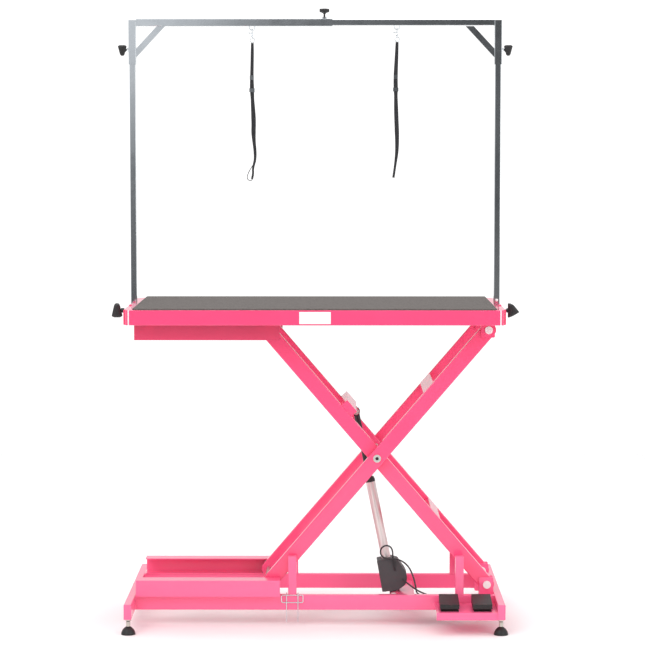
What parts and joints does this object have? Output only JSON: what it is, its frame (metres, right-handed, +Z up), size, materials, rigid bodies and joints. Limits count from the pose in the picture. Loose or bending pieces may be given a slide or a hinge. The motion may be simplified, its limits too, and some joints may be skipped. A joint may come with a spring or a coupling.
{
  "type": "grooming table",
  "caption": "Electric scissor-lift pet grooming table with a pink steel frame, ribbed rubber top, overhead bar and webbing nooses",
  "frame": {"origin": "on the floor under the middle of the table", "axes": "+X along the table towards the fixed pivots, +Y to the rear away from the pedals, +Z up"},
  "size_m": [1.388, 0.724, 2.0605],
  "materials": {
    "pink_paint": "pink powder coat with a light shell texture",
    "zinc_steel": "zinc-plated steel",
    "chrome_plate": "bright chrome plating",
    "black_plastic": "black moulded plastic, soft sheen",
    "roller_plastic": "off-white nylon",
    "plywood": "bare plywood, hidden under the mat",
    "ribbed_rubber": "dark grey rubber with fine texture",
    "housing_plastic": "charcoal moulded plastic",
    "aluminium": "fluted anodised aluminium",
    "dark_rod": "dark oxidised steel",
    "webbing": "black woven webbing"
  },
  "bodies": {
    "base": {"base_sides": "pink_paint", "base_long_tubes": "pink_paint", "lower_rails": "pink_paint", "rest_posts": "pink_paint", "lower_pivot_brackets": "pink_paint", "base_pivot_pins": "zinc_steel", "actuator_mount": "pink_paint", "pedal_plate": "pink_paint", "pedal_bases": "black_plastic", "control_box": "black_plastic", "wire_hanger": "chrome_plate", "foot_locknuts": "zinc_steel", "motor_cable": "black_plastic", "sensor_cable": "black_plastic"},
    "foot_front_left_body": {"foot_front_left": "black_plastic"},
    "foot_front_right_body": {"foot_front_right": "black_plastic"},
    "foot_rear_left_body": {"foot_rear_left": "black_plastic"},
    "foot_rear_right_body": {"foot_rear_right": "black_plastic"},
    "arm_a": {"arm_a_tubes": "pink_paint", "arm_a_crossbar": "pink_paint", "actuator_crossbar": "pink_paint", "arm_bolts": "zinc_steel", "arm_a_roller_axle": "zinc_steel"},
    "arm_b": {"arm_b_tubes": "pink_paint", "arm_b_crossbar": "pink_paint", "arm_b_roller_axle": "zinc_steel"},
    "roller_lower_front_body": {"roller_lower_front": "roller_plastic"},
    "roller_lower_rear_body": {"roller_lower_rear": "roller_plastic"},
    "roller_upper_front_body": {"roller_upper_front": "roller_plastic"},
    "roller_upper_rear_body": {"roller_upper_rear": "roller_plastic"},
    "table": {"top_board": "plywood", "rubber_mat": "ribbed_rubber", "aprons": "pink_paint", "end_pieces": "pink_paint", "frame_braces": "pink_paint", "upper_rails": "pink_paint", "upper_pivot_brackets": "pink_paint", "upper_pivot_pins": "zinc_steel"},
    "actuator": {"motor_housing": "housing_plastic", "actuator_tube": "aluminium", "actuator_end_cap": "black_plastic"},
    "rod": {"actuator_rod": "dark_rod", "actuator_rod_end": "dark_rod", "rod_end_pin": "zinc_steel"},
    "posts": {"gantry_posts": "chrome_plate"},
    "overarm": {"corner_sleeves": "chrome_plate", "corner_braces": "chrome_plate", "overhead_bar_outer": "chrome_plate", "overhead_bar_inner": "chrome_plate"},
    "knob_table_left_body": {"knob_table_left": "black_plastic"},
    "knob_table_right_body": {"knob_table_right": "black_plastic"},
    "knob_sleeve_left_body": {"knob_sleeve_left": "black_plastic"},
    "knob_sleeve_right_body": {"knob_sleeve_right": "black_plastic"},
    "knob_bar_body": {"knob_bar": "black_plastic"},
    "pedal_up_body": {"pedal_up": "black_plastic"},
    "pedal_down_body": {"pedal_down": "black_plastic"},
    "noose_left": {"noose_hook_left": "chrome_plate", "noose_strap_left": "webbing"},
    "noose_right": {"noose_hook_right": "chrome_plate", "noose_strap_right": "webbing"}
  },
  "joints": [
    {"name": "scissor_lift", "type": "hinge", "parent": "base", "child": "arm_a", "pos_m": [0.578, 0, 0.1288], "axis": [0, -1, 0], "range_deg": [0, 45.2]},
    {"name": "scissor_cross", "type": "hinge", "parent": "arm_a", "child": "arm_b", "pos_m": [0.2075, 0, 0.55955], "axis": [0, -1, 0], "range_deg": [-90.4, 0]},
    {"name": "table_level", "type": "hinge", "parent": "arm_b", "child": "table", "pos_m": [0.578, 0, 0.9903], "axis": [0, -1, 0], "range_deg": [0, 45.2]},
    {"name": "actuator_tilt", "type": "hinge", "parent": "base", "child": "actuator", "pos_m": [0.268, 0, 0.067], "axis": [0, -1, 0], "range_deg": [0, 57.84], "deforming": ["motor_cable", "sensor_cable"]},
    {"name": "rod_slide", "type": "slide", "parent": "actuator", "child": "rod", "axis": [-0.2, 0, 0.9798], "range_m": [-0.2135, 0]},
    {"name": "roller_lower_front_spin", "type": "hinge", "parent": "arm_b", "child": "roller_lower_front_body", "pos_m": [-0.163, -0.199, 0.1288], "axis": [0, 1, 0], "continuous": true},
    {"name": "roller_lower_rear_spin", "type": "hinge", "parent": "arm_b", "child": "roller_lower_rear_body", "pos_m": [-0.163, 0.199, 0.1288], "axis": [0, 1, 0], "continuous": true},
    {"name": "roller_upper_front_spin", "type": "hinge", "parent": "arm_a", "child": "roller_upper_front_body", "pos_m": [-0.163, -0.199, 0.9903], "axis": [0, 1, 0], "continuous": true},
    {"name": "roller_upper_rear_spin", "type": "hinge", "parent": "arm_a", "child": "roller_upper_rear_body", "pos_m": [-0.163, 0.199, 0.9903], "axis": [0, 1, 0], "continuous": true},
    {"name": "post_lift", "type": "slide", "parent": "table", "child": "posts", "axis": [0, 0, 1], "range_m": [0, 0.045]},
    {"name": "overarm_lift", "type": "slide", "parent": "posts", "child": "overarm", "axis": [0, 0, 1], "range_m": [0, 0.1]},
    {"name": "knob_table_left_turn", "type": "hinge", "parent": "table", "child": "knob_table_left_body", "pos_m": [-0.66, 0, 1.043], "axis": [-1, 0, 0], "continuous": true},
    {"name": "knob_sleeve_left_turn", "type": "hinge", "parent": "overarm", "child": "knob_sleeve_left_body", "pos_m": [-0.65, 0, 1.922], "axis": [-1, 0, 0], "continuous": true},
    {"name": "knob_table_right_turn", "type": "hinge", "parent": "table", "child": "knob_table_right_body", "pos_m": [0.66, 0, 1.043], "axis": [1, 0, 0], "continuous": true},
    {"name": "knob_sleeve_right_turn", "type": "hinge", "parent": "overarm", "child": "knob_sleeve_right_body", "pos_m": [0.65, 0, 1.922], "axis": [1, 0, 0], "continuous": true},
    {"name": "knob_bar_turn", "type": "hinge", "parent": "overarm", "child": "knob_bar_body", "pos_m": [0.031, 0, 2.05], "axis": [0, 0, 1], "continuous": true},
    {"name": "foot_front_left_turn", "type": "hinge", "parent": "base", "child": "foot_front_left_body", "pos_m": [-0.6125, -0.335, 0.03], "axis": [0, 0, 1], "continuous": true},
    {"name": "foot_front_right_turn", "type": "hinge", "parent": "base", "child": "foot_front_right_body", "pos_m": [0.6125, -0.335, 0.03], "axis": [0, 0, 1], "continuous": true},
    {"name": "foot_rear_left_turn", "type": "hinge", "parent": "base", "child": "foot_rear_left_body", "pos_m": [-0.6125, 0.335, 0.03], "axis": [0, 0, 1], "continuous": true},
    {"name": "foot_rear_right_turn", "type": "hinge", "parent": "base", "child": "foot_rear_right_body", "pos_m": [0.6125, 0.335, 0.03], "axis": [0, 0, 1], "continuous": true},
    {"name": "pedal_up_press", "type": "hinge", "parent": "base", "child": "pedal_up_body", "pos_m": [0.444, -0.241, 0.091], "axis": [1, 0, 0], "range_deg": [0, 3], "stiffness_Nm_per_rad": 2, "springref_deg": -20.05},
    {"name": "pedal_down_press", "type": "hinge", "parent": "base", "child": "pedal_down_body", "pos_m": [0.552, -0.241, 0.091], "axis": [1, 0, 0], "range_deg": [0, 3], "stiffness_Nm_per_rad": 2, "springref_deg": -20.05},
    {"name": "noose_left_swing", "type": "hinge", "parent": "overarm", "child": "noose_left", "pos_m": [-0.212, 0, 1.9875], "axis": [1, 0, 0], "range_deg": [-30, 30]},
    {"name": "noose_right_swing", "type": "hinge", "parent": "overarm", "child": "noose_right", "pos_m": [0.275, 0, 1.99], "axis": [1, 0, 0], "range_deg": [-30, 30]}
  ],
  "couplings": [
    {"joint": "scissor_cross", "follows": "scissor_lift", "ratio": -2},
    {"joint": "table_level", "follows": "scissor_lift", "ratio": 1},
    {"joint": "actuator_tilt", "follows": "scissor_lift", "ratio": 1.2795},
    {"joint": "rod_slide", "follows": "scissor_lift", "m_per_rad": -0.27053}
  ]
}
